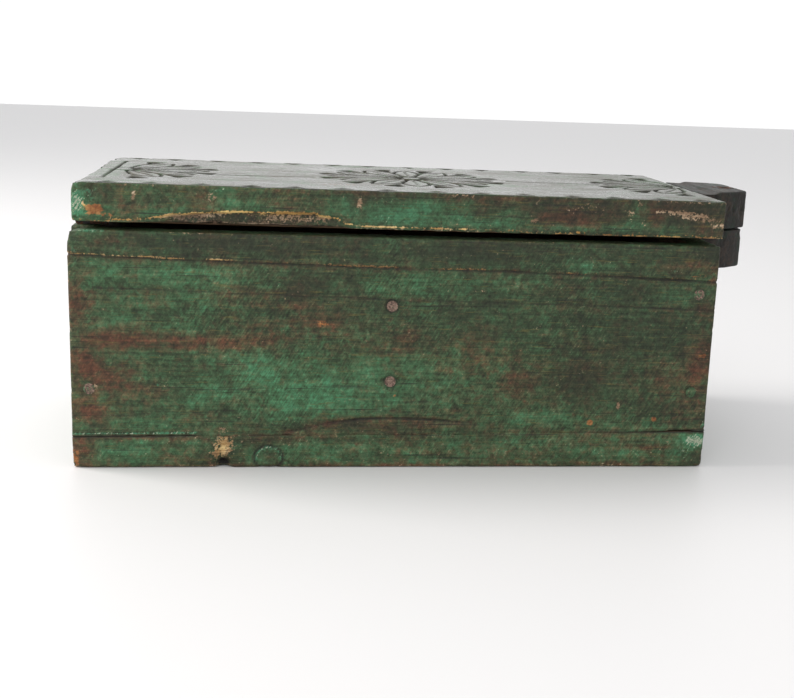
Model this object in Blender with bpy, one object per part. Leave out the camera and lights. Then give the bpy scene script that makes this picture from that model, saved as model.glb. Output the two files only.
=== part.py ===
"""Wooden merchant's cash box: a box of pegged boards under one carved plank lid.

World axes: +X runs along the box from the hinge end to the lock end, +Y goes across it, +Z is up.
The origin is on the underside of the base, midway along the lid. Lengths are in metres.
"""

from math import atan2, cos, pi, radians, sin

import bmesh
import bpy
from mathutils import Vector

MM = 0.001

# Box. The rim falls a little from the hinge end to the lock end.
BODY_REAR = -152.3 * MM
BODY_FRONT = 149.1 * MM
HALF_WIDTH = 69.75 * MM
BASE_THICK = 16.5 * MM
SIDE_THICK = 12.0 * MM
END_THICK = 13.0 * MM
RIM_REAR = 111.4 * MM
RIM_FRONT = 109.4 * MM
DIVIDER_X = -6.0 * MM
DIVIDER_THICK = 10.0 * MM
DIVIDER_TOP = 98.0 * MM
JOINT_GAP = 0.3 * MM
WORN_ARRIS = 0.9 * MM

# Lid, in its own frame: origin on the hinge axis, untilted.
HINGE_X = -149.0 * MM
HINGE_Z = 113.0 * MM
LID_LENGTH = 300.0 * MM
LID_THICK = 18.0 * MM
LID_REAR = -1.0 * MM
LID_FRONT = LID_REAR + LID_LENGTH
LID_UNDER = 1.5 * MM
LID_TOP = LID_UNDER + LID_THICK
LID_MIDDLE = LID_REAR + LID_LENGTH / 2
LID_TILT = atan2(RIM_REAR - RIM_FRONT, LID_LENGTH)

# Nose: two stacked blocks at the lock end, hand cut to the same plan. Each pair of
# numbers is a distance out from the board behind and a place across the box.
NOSE_PLAN = [
    (0, -36), (8, -33.5), (16, -29), (23, -24), (28.5, -19.5),
    (28.5, 15), (27.2, 18.2), (24.5, 20.4), (12, 25), (0, 29),
]
NOSE_RISE = 1.0 * MM
NOSE_STEP = 12.0 * MM
KEEPER_REAR = BODY_FRONT + JOINT_GAP
KEEPER_LOW = 92.3 * MM
KEEPER_TOP = 111.9 * MM
SHACKLE_X = 171.5 * MM
SHACKLE_Y = -3.5 * MM
SHACKLE_RADIUS = 3.4 * MM
RING_OUTER = 5.4 * MM
RING_THICK = 0.9 * MM

# Wooden pegs and dowels.
PEG_RADIUS = 2.6 * MM
PEG_LENGTH = 34.0 * MM
PEG_REAR_X = -144.0 * MM
PEG_FRONT_X = 140.5 * MM
PEG_HEIGHTS = (38.0 * MM, 86.0 * MM)
DIVIDER_PEG_HEIGHTS = (42.3 * MM, 78.4 * MM)
DOWEL_RADIUS = 3.0 * MM
DOWEL_Y = 15.0 * MM
DOWEL_LENGTH = 25.0 * MM
DOWEL = [(0, DOWEL_RADIUS), (DOWEL_LENGTH, DOWEL_RADIUS)]
HOLE_CLEARANCE = 0.3 * MM
ROUND_SIDES = 14

# Iron nails under the base.
NAIL_HEAD = 3.6 * MM
NAIL_SHANK = 1.5 * MM
NAIL_LENGTH = 37.0 * MM
NAIL_HEAD_THICK = 1.2 * MM
NAIL_SIDES = 8
SIDE_NAILS_X = (-110.0 * MM, 0.0, 110.0 * MM)
END_NAILS_Y = (0.0,)

# Iron butt hinges, their leaves lying in the gap between rim and lid.
HINGE_Y = 38.0 * MM
HINGE_WIDTH = 30.0 * MM
LEAF_DEPTH = 13.0 * MM
LEAF_THICK = 1.15 * MM
LEAF_LOW = -1.4 * MM
LEAF_HIGH = 0.25 * MM
KNUCKLE_RADIUS = 1.9 * MM
PIN_RADIUS = 0.8 * MM
PIN_BORE = 1.1 * MM
KNUCKLE_GAP = 0.3 * MM
HINGE_NAIL_HEAD = 2.0 * MM
HINGE_NAIL_SHANK = 0.9 * MM
HINGE_NAIL_X = 7.5 * MM
HINGE_NAIL_YS = (-9.0 * MM, 9.0 * MM)
HINGE_NAIL_LENGTH = 11.0 * MM

# Chip carving on the lid. Every place is from the middle of its top: a whole flower and a half flower near each end.
FLOWER_X = 7.5 * MM
HALF_FLOWERS = ((-136.0 * MM, -60), (150.0 * MM, 120))
LEAF_STEP = 30
LEAF_INNER = 9.0 * MM
VEIN_INNER = 12.0 * MM
VEIN_OUTER = 36.0 * MM
LINE_OUTER = 30.0 * MM
LINE_HALF_WIDTH = 1.3 * MM
LINE_DEPTH = 1.2 * MM
TIP_INNER = 31.5 * MM
TIP_OUTER = 46.0 * MM
TIP_HALF_WIDTH = 4.6 * MM
TIP_DEPTH = 2.0 * MM
GROOVE_WIDTH = 2.4 * MM
GROOVE_DEPTH = 1.2 * MM
GROOVES = (
    ((57.0 * MM, 0.5 * MM), (104.0 * MM, 0.5 * MM)),
    ((-88.0 * MM, -16.0 * MM), (-42.0 * MM, -11.4 * MM)),
    ((-140.0 * MM, -46.0 * MM), (-140.0 * MM, 46.0 * MM)),
)
CHIP_FIRST = -136.0 * MM
CHIP_PITCH = 21.2 * MM
CHIP_COUNT = 14
CHIP_WIDTH = 11.0 * MM
CHIP_REACH = 6.5 * MM
CHIP_DEPTH = 1.8 * MM
CHIP_EDGE = 3.0 * MM

LIFT = 1.0 * MM

COLORS = {
    "box_paint": ((0.045, 0.115, 0.070), 0.62, 0.0),
    "lid_paint": ((0.050, 0.080, 0.055), 0.48, 0.0),
    "bare_wood": ((0.190, 0.115, 0.060), 0.75, 0.0),
    "nose_wood": ((0.040, 0.034, 0.028), 0.50, 0.0),
    "peg_wood": ((0.230, 0.130, 0.085), 0.70, 0.0),
    "old_iron": ((0.060, 0.045, 0.036), 0.60, 0.85),
}


def material(name):
    """A Principled material, made once for each name."""
    found = bpy.data.materials.get(name)
    if found:
        return found
    color, roughness, metallic = COLORS[name]
    made = bpy.data.materials.new(name)
    made.use_nodes = True
    shader = made.node_tree.nodes["Principled BSDF"]
    shader.inputs["Base Color"].default_value = (*color, 1)
    shader.inputs["Roughness"].default_value = roughness
    shader.inputs["Metallic"].default_value = metallic
    return made


def add_object(name, bm, at=(0, 0, 0), paint=None, parent=None):
    """Turns a bmesh into an object with faces out. Without paint it is a cutter."""
    bmesh.ops.recalc_face_normals(bm, faces=bm.faces)
    mesh = bpy.data.meshes.new(name)
    bm.to_mesh(mesh)
    bm.free()
    obj = bpy.data.objects.new(name, mesh)
    bpy.context.scene.collection.objects.link(obj)
    obj.location = at
    obj.parent = parent
    if paint:
        mesh.materials.append(material(paint))
    else:
        obj.hide_render = True
        obj.display_type = "WIRE"
    return obj


def cut(target, cutter):
    """Takes the cutter's volume out of the target."""
    step = target.modifiers.new("cut_" + cutter.name, "BOOLEAN")
    step.operation = "DIFFERENCE"
    step.solver = "EXACT"
    step.object = cutter


def wear_arrises(obj, width=WORN_ARRIS):
    """Rounds the sharp edges of a board."""
    step = obj.modifiers.new("worn_arrises", "BEVEL")
    step.width = width
    step.segments = 2
    step.limit_method = "ANGLE"


def prism(bm, low_ring, high_ring):
    """Joins two matching rings of points into one closed body."""
    low = [bm.verts.new(p) for p in low_ring]
    high = [bm.verts.new(p) for p in high_ring]
    bm.faces.new(low[::-1])
    bm.faces.new(high)
    for i in range(len(low)):
        j = (i + 1) % len(low)
        bm.faces.new((low[i], low[j], high[j], high[i]))


def add_block(bm, low, high):
    """A rectangular block between two opposite corners."""
    (x0, y0, z0), (x1, y1, z1) = low, high
    corners = [(x0, y0), (x1, y0), (x1, y1), (x0, y1)]
    prism(bm, [(x, y, z0) for x, y in corners], [(x, y, z1) for x, y in corners])


def add_turned(bm, start, direction, profile, sides):
    """A turned body: profile lists (distance along the axis, radius) from the start point."""
    axis = Vector(direction)
    across = axis.orthogonal().normalized()
    other = axis.cross(across)
    rings = []
    for along, radius in profile:
        center = Vector(start) + axis * along
        angles = [2 * pi * (i + 0.5) / sides for i in range(sides)]
        rings.append(
            [bm.verts.new(center + radius * (cos(a) * across + sin(a) * other)) for a in angles]
        )
    bm.faces.new(rings[0][::-1])
    bm.faces.new(rings[-1])
    for low, high in zip(rings, rings[1:]):
        for i in range(sides):
            j = (i + 1) % sides
            bm.faces.new((low[i], low[j], high[j], high[i]))


def rim_height(x):
    """Height of the rim at a place along the box."""
    share = (x - BODY_REAR) / (BODY_FRONT - BODY_REAR)
    return RIM_REAR + share * (RIM_FRONT - RIM_REAR)


def make_board(name, x_span, y_span, z_low, z_high, paint, follows_rim=False):
    """A board with worn arrises. One that follows the rim has a sloping top edge."""
    middle = Vector((sum(x_span) / 2, sum(y_span) / 2, z_low))
    bm = bmesh.new()
    add_block(
        bm,
        (x_span[0] - middle.x, y_span[0] - middle.y, 0),
        (x_span[1] - middle.x, y_span[1] - middle.y, z_high - z_low),
    )
    if follows_rim:
        for vert in bm.verts:
            if vert.co.z > 0:
                vert.co.z = rim_height(vert.co.x + middle.x) - z_low
    obj = add_object(name, bm, middle, paint)
    wear_arrises(obj)
    return obj


def make_fasteners(name, places, profile, sides, paint, parent=None):
    """One turned piece at each (start, direction) place, numbered from 1."""
    for number, (start, direction) in enumerate(places, 1):
        bm = bmesh.new()
        add_turned(bm, (0, 0, 0), direction, profile, sides)
        add_object(f"{name}_{number}", bm, start, paint, parent)


def make_holes(name, places, profile, sides, parent=None, open_end=LIFT):
    """Cutter for the holes of such pieces: wider all round, and longer at both ends."""
    wider = [(along, radius + HOLE_CLEARANCE) for along, radius in profile]
    wider[0] = (-open_end, wider[0][1])
    wider[-1] = (wider[-1][0] + HOLE_CLEARANCE, wider[-1][1])
    bm = bmesh.new()
    for start, direction in places:
        add_turned(bm, start, direction, wider, sides)
    return add_object(name, bm, parent=parent)


def nail_profile(head, shank, length, head_thick):
    """A tapered nail with a sunk head at its start."""
    return [
        (0, head),
        (head_thick * 0.4, head),
        (head_thick, shank),
        (length, shank * 0.5),
    ]


def make_nose_block(name, rear, low, high, parent=None):
    """A block with the nose's plan between two heights."""
    ring = [(rear + out * MM, across * MM) for out, across in NOSE_PLAN]
    bm = bmesh.new()
    prism(bm, [(x, y, low) for x, y in ring], [(x, y, high) for x, y in ring])
    obj = add_object(name, bm, paint="nose_wood", parent=parent)
    wear_arrises(obj)
    return obj


def make_ring(name, center, up, parent=None):
    """A flat iron ring round the shackle hole, let in flush with the wood."""
    bm = bmesh.new()
    add_turned(bm, center, (0, 0, up), [(0, RING_OUTER), (RING_THICK, RING_OUTER)], 20)
    obj = add_object(name, bm, paint="old_iron", parent=parent)
    bm = bmesh.new()
    add_turned(bm, center, (0, 0, up), [(-LIFT, SHACKLE_RADIUS), (2 * LIFT, SHACKLE_RADIUS)], 20)
    cut(obj, add_object(name + "_bore", bm, parent=parent))
    return obj


def make_ring_seat(name, center, up, parent=None):
    """Cutter for the recess that a ring lies in."""
    reach = RING_OUTER + HOLE_CLEARANCE
    bm = bmesh.new()
    add_turned(bm, center, (0, 0, up), [(-HOLE_CLEARANCE, reach), (2 * LIFT, reach)], 20)
    return add_object(name, bm, parent=parent)


def make_leaf(name, y, low, knuckle_spans, gap_spans, at=(0, 0, 0), parent=None):
    """A hinge leaf with rolled knuckles round the axis and room for the other leaf's."""
    bm = bmesh.new()
    add_block(bm, (0, y - HINGE_WIDTH / 2, low), (LEAF_DEPTH, y + HINGE_WIDTH / 2, low + LEAF_THICK))
    leaf = add_object(name, bm, at, "old_iron", parent)
    reach = KNUCKLE_RADIUS + KNUCKLE_GAP
    for i, (start, end) in enumerate(gap_spans):
        bm = bmesh.new()
        add_block(bm, (-LIFT, y + start, -reach), (reach, y + end, reach))
        cut(leaf, add_object(f"{name}_room_{i}", bm, at, parent=parent))
    for i, (start, end) in enumerate(knuckle_spans):
        bm = bmesh.new()
        profile = [(0, KNUCKLE_RADIUS), (end - start, KNUCKLE_RADIUS)]
        add_turned(bm, (0, y + start, 0), (0, 1, 0), profile, ROUND_SIDES)
        step = leaf.modifiers.new(f"knuckle_{i}", "BOOLEAN")
        step.operation = "UNION"
        step.solver = "EXACT"
        step.object = add_object(f"{name}_knuckle_{i}", bm, at, parent=parent)
    bm = bmesh.new()
    start = y - HINGE_WIDTH / 2 - LIFT
    profile = [(0, PIN_BORE), (HINGE_WIDTH + 2 * LIFT, PIN_BORE)]
    add_turned(bm, (0, start, 0), (0, 1, 0), profile, ROUND_SIDES)
    cut(leaf, add_object(name + "_bore", bm, at, parent=parent))
    return leaf


def hull(bm, points):
    """The convex body round some points."""
    verts = [bm.verts.new(p) for p in points]
    made = bmesh.ops.convex_hull(bm, input=verts)
    unused = [v for v in verts if v in made["geom_interior"] or v in made["geom_unused"]]
    bmesh.ops.delete(bm, geom=unused, context="VERTS")


def sliver(bm, center, angle, inner, outer):
    """A narrow leaf-shaped cut: a lens outline at the surface, falling to one keel line."""
    along = Vector((cos(angle), sin(angle), 0))
    across = Vector((-sin(angle), cos(angle), 0))
    length = outer - inner
    wide = LINE_HALF_WIDTH * (1 + LIFT / LINE_DEPTH)
    base = Vector((center, 0, LID_TOP))
    points = []
    for share, width in ((0, 0.1), (0.22, 0.75), (0.55, 1.0), (0.85, 0.7), (1, 0.1)):
        for side in (-1, 1):
            place = along * (inner + share * length) + across * (side * width * wide)
            points.append(base + place + Vector((0, 0, LIFT)))
    for share in (0.3, 0.8):
        points.append(base + along * (inner + share * length) - Vector((0, 0, LINE_DEPTH)))
    hull(bm, points)


def tip_chip(bm, center, angle):
    """The deep three-cornered cut between two leaf tips, with its point towards the flower's middle."""
    along = Vector((cos(angle), sin(angle), 0))
    across = Vector((-sin(angle), cos(angle), 0))
    middle = TIP_INNER + (TIP_OUTER - TIP_INNER) * 0.65
    grow = 1 + LIFT / TIP_DEPTH
    base = Vector((center, 0, LID_TOP)) + along * middle
    corners = [(TIP_INNER - middle, 0), (TIP_OUTER - middle, -TIP_HALF_WIDTH), (TIP_OUTER - middle, TIP_HALF_WIDTH)]
    points = [base + along * (a * grow) + across * (b * grow) + Vector((0, 0, LIFT)) for a, b in corners]
    hull(bm, points + [base - Vector((0, 0, TIP_DEPTH))])


def flower(lines, tips, center, first, count):
    """Leaves a fixed step apart: a vein along each, a line between each two, and a chip between their tips."""
    for i in range(count):
        sliver(lines, center, radians(first + LEAF_STEP * i), VEIN_INNER, VEIN_OUTER)
    gaps = count if LEAF_STEP * count == 360 else count + 1
    for i in range(gaps):
        angle = radians(first + LEAF_STEP * (i - 0.5))
        sliver(lines, center, angle, LEAF_INNER, LINE_OUTER)
        tip_chip(tips, center, angle)


def groove(bm, start, end):
    """A V-shaped cut along a straight line on the lid."""
    heading = (Vector(end) - Vector(start)).normalized()
    across = Vector((-heading.y, heading.x)) * (GROOVE_WIDTH / 2 * (1 + LIFT / GROOVE_DEPTH))
    points = []
    for x, y in (start, end):
        points.append((x - across.x, y - across.y, LID_TOP + LIFT))
        points.append((x + across.x, y + across.y, LID_TOP + LIFT))
        points.append((x, y, LID_TOP - GROOVE_DEPTH))
    hull(bm, points)


def chip(bm, x, y, inward):
    """A three-cornered chip with its point towards the middle of the lid."""
    grow = 1 + LIFT / CHIP_DEPTH
    corners = [(-CHIP_WIDTH / 2, 0), (CHIP_WIDTH / 2, 0), (0, inward * CHIP_REACH)]
    mid_y = inward * CHIP_REACH / 3
    points = [(x + a * grow, y + mid_y + (b - mid_y) * grow, LID_TOP + LIFT) for a, b in corners]
    hull(bm, points + [(x, y + mid_y, LID_TOP - CHIP_DEPTH)])


def carve_lid(lid, parent):
    """A flower near the middle, half flowers at the ends, short grooves, and chips along both long edges."""
    lines, tips, edges = bmesh.new(), bmesh.new(), bmesh.new()
    flower(lines, tips, LID_MIDDLE + FLOWER_X, 0, 360 // LEAF_STEP)
    for x, first in HALF_FLOWERS:
        flower(lines, tips, LID_MIDDLE + x, first, 5)
    for (x1, y1), (x2, y2) in GROOVES:
        groove(edges, (LID_MIDDLE + x1, y1), (LID_MIDDLE + x2, y2))
    for i in range(CHIP_COUNT):
        x = LID_MIDDLE + CHIP_FIRST + CHIP_PITCH * i
        for side in (-1, 1):
            chip(edges, x, side * (HALF_WIDTH - CHIP_EDGE), -side)
    for name, bm in (("line_cutter", lines), ("tip_cutter", tips), ("edge_cutter", edges)):
        cut(lid, add_object(name, bm, parent=parent))


def make_box():
    """Base, four walls and the divider, with the pegs and nails that hold them."""
    inner = HALF_WIDTH - SIDE_THICK - JOINT_GAP
    floor = BASE_THICK + JOINT_GAP
    base = make_board(
        "base_board", (BODY_REAR, BODY_FRONT), (-HALF_WIDTH, HALF_WIDTH), 0, BASE_THICK, "box_paint"
    )
    sides = []
    for name, sign in (("side_board_near", -1), ("side_board_far", 1)):
        span = sorted((sign * HALF_WIDTH, sign * (HALF_WIDTH - SIDE_THICK)))
        long_span = (BODY_REAR, BODY_FRONT)
        sides.append(make_board(name, long_span, span, floor, RIM_REAR, "box_paint", True))
    across = (-inner, inner)
    back = make_board(
        "back_board", (BODY_REAR, BODY_REAR + END_THICK), across, floor, RIM_REAR, "box_paint", True
    )
    front = make_board(
        "front_board", (BODY_FRONT - END_THICK, BODY_FRONT), across, floor, RIM_FRONT, "box_paint", True
    )
    half = DIVIDER_THICK / 2
    divider = make_board(
        "divider", (DIVIDER_X - half, DIVIDER_X + half), across, floor, DIVIDER_TOP, "bare_wood"
    )

    def side_places(x, heights):
        return [
            ((x, sign * HALF_WIDTH, z), (0, -sign, 0)) for sign in (-1, 1) for z in heights
        ]

    corner = side_places(PEG_REAR_X, PEG_HEIGHTS) + side_places(PEG_FRONT_X, PEG_HEIGHTS)
    middle = side_places(DIVIDER_X, DIVIDER_PEG_HEIGHTS)
    peg = [(0, PEG_RADIUS), (PEG_LENGTH, PEG_RADIUS)]
    make_fasteners("corner_peg", corner, peg, ROUND_SIDES, "peg_wood")
    make_fasteners("divider_peg", middle, peg, ROUND_SIDES, "peg_wood")
    peg_holes = make_holes("peg_holes", corner + middle, peg, ROUND_SIDES)
    for board in (*sides, back, front, divider):
        cut(board, peg_holes)

    up = (0, 0, 1)
    sunk = JOINT_GAP
    side_y = HALF_WIDTH - SIDE_THICK / 2
    nails = [((x, sign * side_y, sunk), up) for x in SIDE_NAILS_X for sign in (-1, 1)]
    end_xs = (BODY_REAR + END_THICK / 2, BODY_FRONT - END_THICK / 2)
    nails += [((x, y, sunk), up) for x in end_xs for y in END_NAILS_Y]
    nail = nail_profile(NAIL_HEAD, NAIL_SHANK, NAIL_LENGTH, NAIL_HEAD_THICK)
    make_fasteners("base_nail", nails, nail, NAIL_SIDES, "old_iron")
    nail_holes = make_holes("nail_holes", nails, nail, NAIL_SIDES)
    for board in (base, *sides, back, front):
        cut(board, nail_holes)
    return back, front


def make_keeper(front):
    """Lower half of the nose, doweled to the front board."""
    keeper = make_nose_block("keeper_block", KEEPER_REAR, KEEPER_LOW, KEEPER_TOP)
    middle = (KEEPER_LOW + KEEPER_TOP) / 2
    start_x = BODY_FRONT - END_THICK + JOINT_GAP
    dowels = [((start_x, y, middle), (1, 0, 0)) for y in (-DOWEL_Y, DOWEL_Y)]
    make_fasteners("keeper_dowel", dowels, DOWEL, ROUND_SIDES, "peg_wood")
    holes = make_holes("keeper_dowel_holes", dowels, DOWEL, ROUND_SIDES)
    cut(front, holes)
    cut(keeper, holes)
    center = (SHACKLE_X, SHACKLE_Y, KEEPER_LOW + RING_THICK)
    make_ring("shackle_ring_lower", center, -1)
    cut(keeper, make_ring_seat("lower_ring_seat", center, -1))
    bm = bmesh.new()
    hole_start = (SHACKLE_X, SHACKLE_Y, KEEPER_LOW - LIFT)
    profile = [(0, SHACKLE_RADIUS), (KEEPER_TOP - KEEPER_LOW + 2 * LIFT, SHACKLE_RADIUS)]
    add_turned(bm, hole_start, (0, 0, 1), profile, 20)
    cut(keeper, add_object("keeper_shackle_hole", bm))


def make_lid(pivot):
    """Carved plank and the upper half of the nose, in the lid's own frame."""
    bm = bmesh.new()
    add_block(bm, (LID_REAR, -HALF_WIDTH, LID_UNDER), (LID_FRONT, HALF_WIDTH, LID_TOP))
    lid = add_object("lid_board", bm, paint="lid_paint", parent=pivot)
    wear_arrises(lid, 1.6 * MM)
    carve_lid(lid, pivot)

    rear = LID_FRONT + JOINT_GAP
    nose = make_nose_block("lid_nose", rear, LID_UNDER, LID_TOP + NOSE_RISE, pivot)
    bm = bmesh.new()
    wide = HALF_WIDTH
    high = LID_TOP + NOSE_RISE
    sloped = [(rear - LIFT, LID_TOP), (rear + NOSE_STEP * 0.6, LID_TOP), (rear + NOSE_STEP, high + LIFT)]
    ring = sloped + [(rear - LIFT, high + LIFT)]
    prism(bm, [(x, -wide, z) for x, z in ring], [(x, wide, z) for x, z in ring])
    cut(nose, add_object("nose_step", bm, parent=pivot))

    middle = (LID_UNDER + LID_TOP) / 2
    dowels = [((LID_FRONT - END_THICK, y, middle), (1, 0, 0)) for y in (-DOWEL_Y, DOWEL_Y)]
    make_fasteners("lid_nose_dowel", dowels, DOWEL, ROUND_SIDES, "peg_wood", pivot)
    dowel_holes = make_holes(
        "lid_dowel_holes", dowels, DOWEL, ROUND_SIDES, pivot, open_end=HOLE_CLEARANCE
    )
    cut(lid, dowel_holes)
    cut(nose, dowel_holes)

    shackle_x = SHACKLE_X - HINGE_X
    center = (shackle_x, SHACKLE_Y, high - RING_THICK)
    make_ring("shackle_ring_upper", center, 1, pivot)
    cut(nose, make_ring_seat("upper_ring_seat", center, 1, pivot))
    bm = bmesh.new()
    profile = [(0, SHACKLE_RADIUS), (high - LID_UNDER + 2 * LIFT, SHACKLE_RADIUS)]
    add_turned(bm, (shackle_x, SHACKLE_Y, LID_UNDER - LIFT), (0, 0, 1), profile, 20)
    cut(nose, add_object("lid_shackle_hole", bm, parent=pivot))
    return lid


def make_hinges(pivot, lid, back):
    """Two hinges: lower leaves and pins stay with the box, upper leaves go with the lid."""
    half = HINGE_WIDTH / 2
    third = HINGE_WIDTH / 6
    outer = [(-half, -third), (third, half)]
    inner = [(-third + KNUCKLE_GAP, third - KNUCKLE_GAP)]
    outer_room = [(-half - LIFT, -third + KNUCKLE_GAP), (third - KNUCKLE_GAP, half + LIFT)]
    inner_room = [(-third, third)]
    axis = (HINGE_X, 0, HINGE_Z)
    nail = nail_profile(HINGE_NAIL_HEAD, HINGE_NAIL_SHANK, HINGE_NAIL_LENGTH, LEAF_THICK * 0.8)
    lower_nails = []
    upper_nails = []
    lower_leaves = []
    upper_leaves = []
    for side, y in (("near", -HINGE_Y), ("far", HINGE_Y)):
        lower_leaves.append(
            make_leaf(f"hinge_leaf_lower_{side}", y, LEAF_LOW, outer, inner_room, axis)
        )
        upper_leaves.append(
            make_leaf(f"hinge_leaf_upper_{side}", y, LEAF_HIGH, inner, outer_room, parent=pivot)
        )
        bm = bmesh.new()
        add_turned(bm, (0, y - half, 0), (0, 1, 0), [(0, PIN_RADIUS), (HINGE_WIDTH, PIN_RADIUS)], 12)
        add_object(f"hinge_pin_{side}", bm, axis, "old_iron")
        for across in HINGE_NAIL_YS:
            lower = (HINGE_X + HINGE_NAIL_X, y + across, HINGE_Z + LEAF_LOW + LEAF_THICK)
            upper = (HINGE_NAIL_X, y + across, LEAF_HIGH)
            lower_nails.append((lower, (0, 0, -1)))
            upper_nails.append((upper, (0, 0, 1)))
    make_fasteners("hinge_nail_lower", lower_nails, nail, NAIL_SIDES, "old_iron")
    make_fasteners("hinge_nail_upper", upper_nails, nail, NAIL_SIDES, "old_iron", pivot)
    lower_holes = make_holes("lower_nail_holes", lower_nails, nail, NAIL_SIDES)
    upper_holes = make_holes("upper_nail_holes", upper_nails, nail, NAIL_SIDES, pivot)
    room = bmesh.new()
    reach = KNUCKLE_RADIUS + 2 * KNUCKLE_GAP
    for y in (-HINGE_Y, HINGE_Y):
        span = (y - half - KNUCKLE_GAP, y + half + KNUCKLE_GAP)
        add_block(room, (-8 * MM, span[0], -reach), (reach, span[1], reach))
    knuckle_room = add_object("knuckle_room", room, axis)
    cut(back, knuckle_room)
    cut(lid, knuckle_room)
    for piece in (back, *lower_leaves):
        cut(piece, lower_holes)
    for piece in (lid, *upper_leaves):
        cut(piece, upper_holes)


def main():
    for obj in list(bpy.data.objects):
        bpy.data.objects.remove(obj, do_unlink=True)
    pivot = bpy.data.objects.new("lid_pivot", None)
    bpy.context.scene.collection.objects.link(pivot)
    pivot.location = (HINGE_X, 0, HINGE_Z)
    pivot.rotation_euler = (0, LID_TILT, 0)
    back, front = make_box()
    make_keeper(front)
    lid = make_lid(pivot)
    make_hinges(pivot, lid, back)


main()
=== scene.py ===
"""Looks of an old merchant's cash box: worn green paint on hand-sawn boards, a chip-carved lid, a dark nose."""

from math import atan2, cos, pi, radians, sin

import bpy
import numpy as np
from mathutils import Matrix, Vector


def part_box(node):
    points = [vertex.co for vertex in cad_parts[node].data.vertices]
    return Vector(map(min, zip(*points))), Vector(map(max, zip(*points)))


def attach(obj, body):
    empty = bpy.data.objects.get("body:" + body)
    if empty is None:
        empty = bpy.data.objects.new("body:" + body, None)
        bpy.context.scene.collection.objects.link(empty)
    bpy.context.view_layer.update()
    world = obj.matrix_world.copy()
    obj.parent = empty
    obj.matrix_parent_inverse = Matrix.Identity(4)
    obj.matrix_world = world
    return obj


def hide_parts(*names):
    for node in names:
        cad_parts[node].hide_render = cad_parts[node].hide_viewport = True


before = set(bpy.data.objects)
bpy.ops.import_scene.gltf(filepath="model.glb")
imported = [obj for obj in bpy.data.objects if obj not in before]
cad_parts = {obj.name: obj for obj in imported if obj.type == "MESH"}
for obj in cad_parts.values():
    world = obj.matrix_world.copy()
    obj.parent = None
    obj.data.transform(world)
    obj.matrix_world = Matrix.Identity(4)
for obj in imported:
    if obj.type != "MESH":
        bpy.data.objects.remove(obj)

MM = 0.001
SCENE = bpy.context.scene
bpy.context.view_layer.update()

# ---------------- noise


def hashed(ix, iy, iz, seed):
    """A repeatable random number in 0..1 for each lattice point."""
    n = ix * 374761393 + iy * 668265263 + iz * 2147483647 + seed * 974634777
    n = (n ^ (n >> 13)) * 1274126177 & 0xFFFFFFFF
    n = (n ^ (n >> 16)) * 2246822519 & 0xFFFFFFFF
    return ((n ^ (n >> 15)) & 0xFFFFFF) / float(0xFFFFFF)


def noise(points, scale, seed=0, octaves=3):
    """Smooth noise of about -1..1 at points in mm. scale gives the feature size along each axis, in mm."""
    total = np.zeros(len(points))
    size = np.array(scale, float)
    amount, weight = 1.0, 0.0
    for octave in range(octaves):
        p = points / size + 31.7
        base = np.floor(p).astype(np.int64)
        f = p - base
        f = f * f * (3 - 2 * f)
        value = np.zeros(len(points))
        for dx in (0, 1):
            for dy in (0, 1):
                for dz in (0, 1):
                    share = (
                        (f[:, 0] if dx else 1 - f[:, 0])
                        * (f[:, 1] if dy else 1 - f[:, 1])
                        * (f[:, 2] if dz else 1 - f[:, 2])
                    )
                    value += share * hashed(base[:, 0] + dx, base[:, 1] + dy, base[:, 2] + dz, seed + octave)
        total += amount * (2 * value - 1)
        weight += amount
        amount *= 0.5
        size = size / 2
    return total / weight


def smooth(low, high, value):
    """Smoothstep from 0 at low to 1 at high."""
    t = np.clip((value - low) / (high - low), 0, 1)
    return t * t * (3 - 2 * t)


def blobs(u, v, spots):
    """Soft patches, each (u, v, radius along u, radius along v, amount)."""
    total = np.zeros(len(u))
    for cu, cv, ru, rv, amount in spots:
        total += amount * bump(u - cu, ru, v - cv, rv)
    return total


def bump(u, wide, v=0.0, high=1.0):
    """A soft oval spot: 1 in its middle, falling away over wide and high."""
    return np.exp(-(u / wide) ** 2 - (v / high) ** 2)


def along_line(u, v, line, width, fade=6.0):
    """1 on a line of (u, v) points, falling to 0 at width from it and past its ends."""
    us, vs = zip(*line)
    near = np.clip(1 - np.abs(v - np.interp(u, us, vs)) / width, 0, 1)
    return near * smooth(us[0] - fade, us[0], u) * (1 - smooth(us[-1], us[-1] + fade, u))


# ---------------- board meshes


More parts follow.
